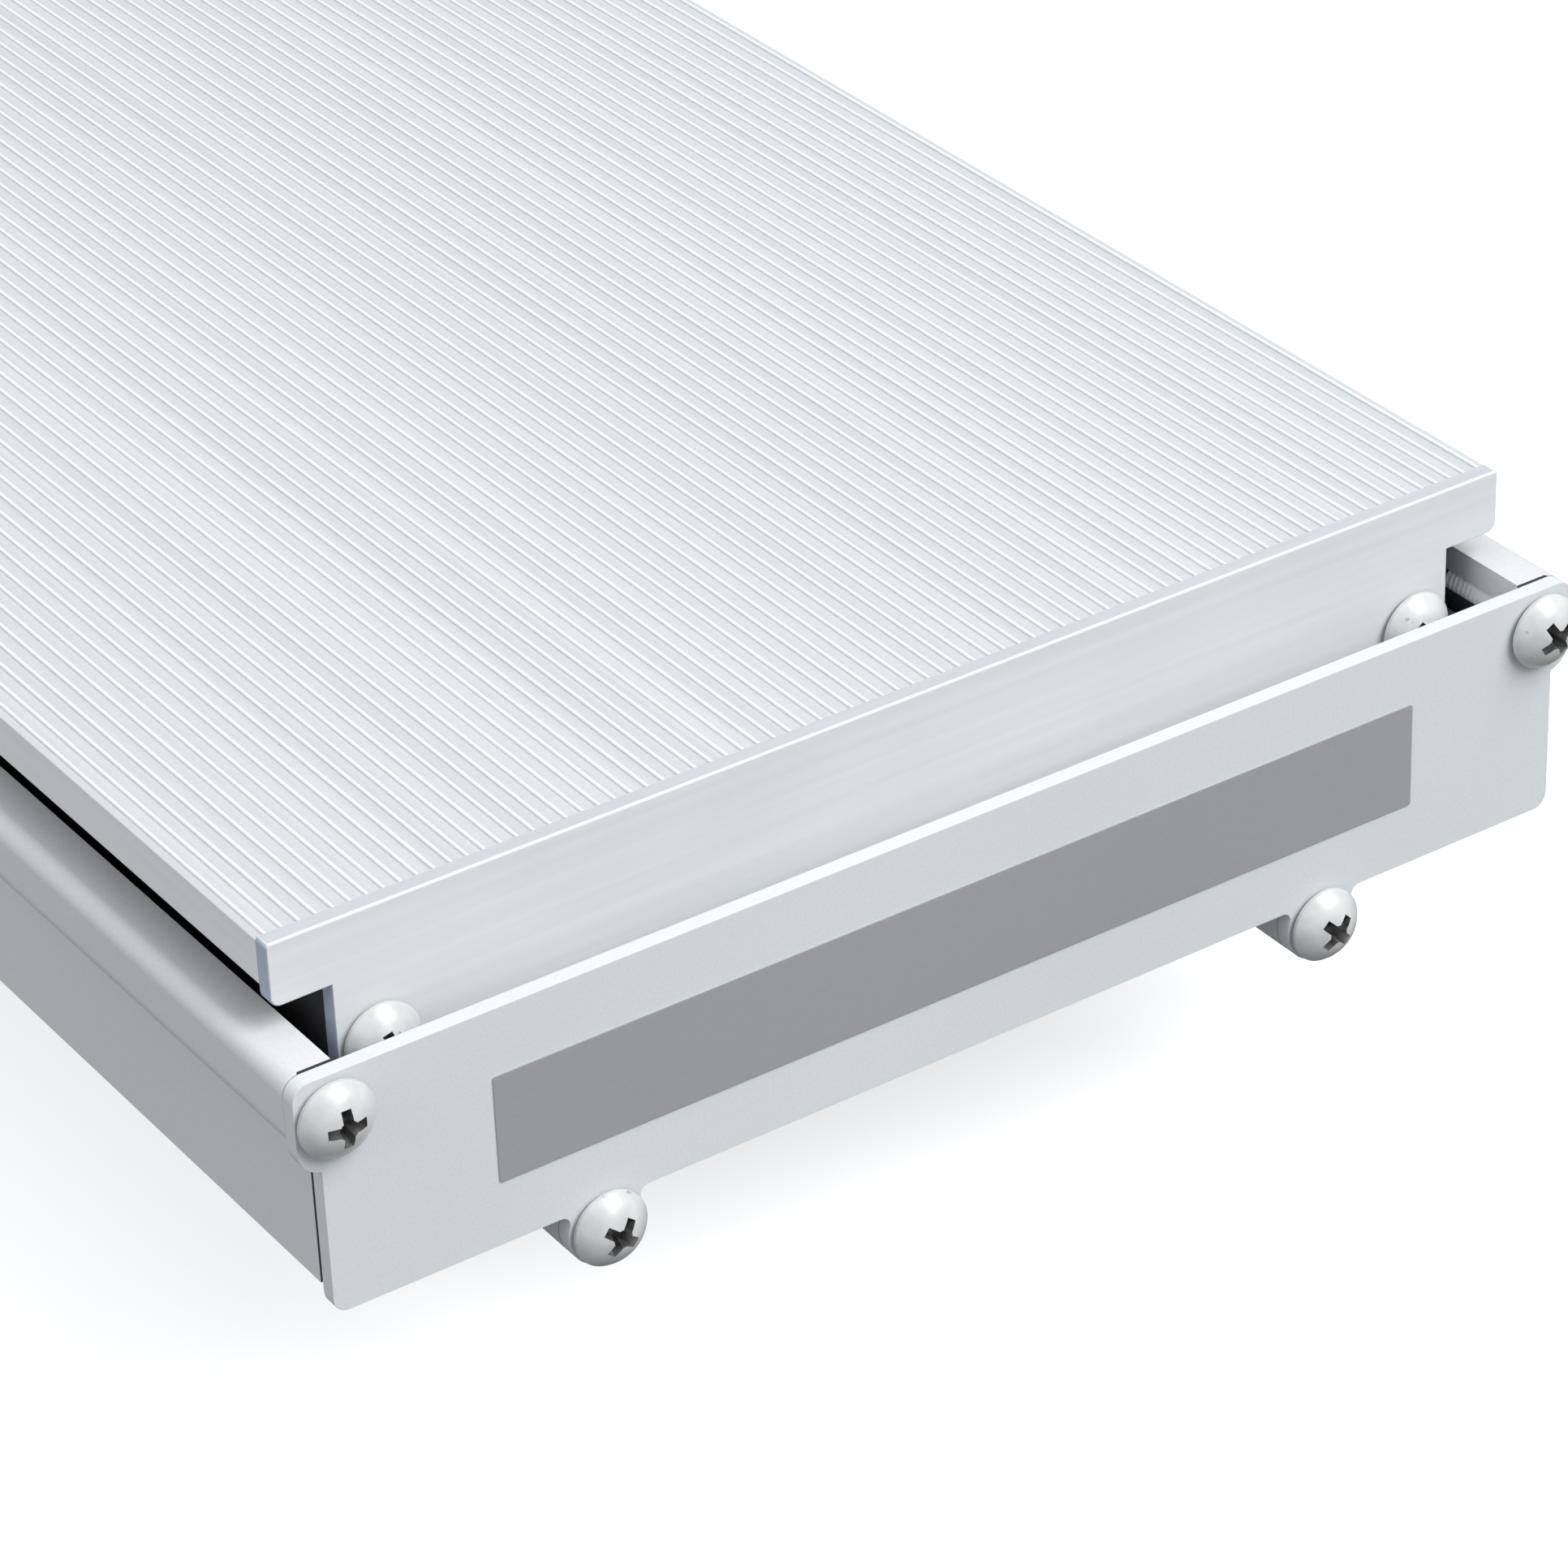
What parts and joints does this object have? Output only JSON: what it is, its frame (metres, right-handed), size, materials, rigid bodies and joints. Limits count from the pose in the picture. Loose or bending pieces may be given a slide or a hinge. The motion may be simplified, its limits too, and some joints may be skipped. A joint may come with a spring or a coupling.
{
  "type": "radiant strip heater",
  "caption": "Ribbed aluminium radiant strip heater in an extruded casing with screwed end plates, carried on sliding and tilting mounting brackets.",
  "frame": {"origin": "middle of the heater's footprint, on the plane that the two bracket feet stand on", "axes": "+X along the heater towards the front end with the name plate, +Z out of the ribbed heated face, +Y across"},
  "size_m": [0.9072, 0.1838, 0.0818],
  "materials": {
    "casing_coat": "silver-white satin powder coat on extruded aluminium",
    "end_plate_coat": "silver-white satin powder coat on sheet aluminium",
    "emitter_skin": "pale matt anodised, finely ribbed",
    "tee_plate_skin": "pale matt anodised sheet with sheared edges",
    "screw_plate": "pale satin plating with dark cross recesses",
    "label_film": "plain grey satin film, blank",
    "element_sheath": "dull heat-darkened alloy tube",
    "retainer_strip": "mill-finish strip",
    "white_ceramic": "unglazed steatite",
    "nickel_pin": "nickel-plated steel",
    "terminal_brass": "turned brass",
    "fibre_board": "pressed mineral fibre",
    "reflector_foil": "bright rolled aluminium sheet",
    "stainless_strip": "2B stainless strip",
    "zinc_fastener": "bright zinc plate",
    "brown_sleeve": "brown silicone lead",
    "grey_sleeve": "grey silicone lead",
    "blue_sleeve": "blue silicone lead",
    "earth_sleeve": "green and yellow striped lead",
    "gland_plastic": "black moulded polyamide",
    "gland_rubber": "black seal ring",
    "bracket_coat": "silver-grey powder coat on folded steel"
  },
  "bodies": {
    "heater": {"casing": "casing_coat", "casing_end_plate_front": "end_plate_coat", "casing_end_plate_rear": "end_plate_coat", "corner_screws": "screw_plate", "rail_screws": "screw_plate", "name_plate": "label_film", "emitter_panel": "emitter_skin", "emitter_end_plate_front": "tee_plate_skin", "emitter_end_plate_rear": "tee_plate_skin", "emitter_end_screws": "screw_plate", "heating_element_left": "element_sheath", "heating_element_right": "element_sheath", "element_retainers": "retainer_strip", "element_bushes": "white_ceramic", "terminal_pins": "nickel_pin", "terminal_nuts": "terminal_brass", "insulation_board": "fibre_board", "reflector_pan": "reflector_foil", "cradle_front": "stainless_strip", "cradle_middle": "stainless_strip", "cradle_rear": "stainless_strip", "cradle_floor_screws": "zinc_fastener", "cradle_side_screws": "zinc_fastener", "terminal_block": "white_ceramic", "terminal_barrels": "terminal_brass", "terminal_clamp_screws": "terminal_brass", "terminal_block_screws": "zinc_fastener", "line_lead": "brown_sleeve", "link_lead": "grey_sleeve", "neutral_lead": "blue_sleeve", "earth_lead": "earth_sleeve", "earth_stud": "terminal_brass", "earth_nut": "terminal_brass", "gland_body": "gland_plastic", "gland_locknut": "gland_plastic", "gland_seal": "gland_rubber", "gland_cap": "gland_plastic"},
    "front_bracket": {"saddle_front": "bracket_coat", "pivot_bolt_front": "zinc_fastener", "pivot_washers_front": "zinc_fastener", "pivot_nut_front": "zinc_fastener", "clamp_screws_front": "zinc_fastener"},
    "rear_bracket": {"saddle_rear": "bracket_coat", "pivot_bolt_rear": "zinc_fastener", "pivot_washers_rear": "zinc_fastener", "pivot_nut_rear": "zinc_fastener", "clamp_screws_rear": "zinc_fastener"},
    "front_foot": {"foot_front": "bracket_coat"},
    "rear_foot": {"foot_rear": "bracket_coat"}
  },
  "joints": [
    {"name": "front_bracket_slide", "type": "slide", "parent": "heater", "child": "front_bracket", "axis": [1, 0, 0], "range_m": [-0.08, 0.08]},
    {"name": "front_foot_tilt", "type": "hinge", "parent": "front_bracket", "child": "front_foot", "pos_m": [0.25, 0, 0.016], "axis": [1, 0, 0], "range_deg": [-45, 45]},
    {"name": "rear_bracket_slide", "type": "slide", "parent": "heater", "child": "rear_bracket", "axis": [1, 0, 0], "range_m": [-0.08, 0.08]},
    {"name": "rear_foot_tilt", "type": "hinge", "parent": "rear_bracket", "child": "rear_foot", "pos_m": [-0.25, 0, 0.016], "axis": [1, 0, 0], "range_deg": [-45, 45]}
  ],
  "couplings": [
    {"joint": "rear_foot_tilt", "follows": "front_foot_tilt", "ratio": 1}
  ]
}
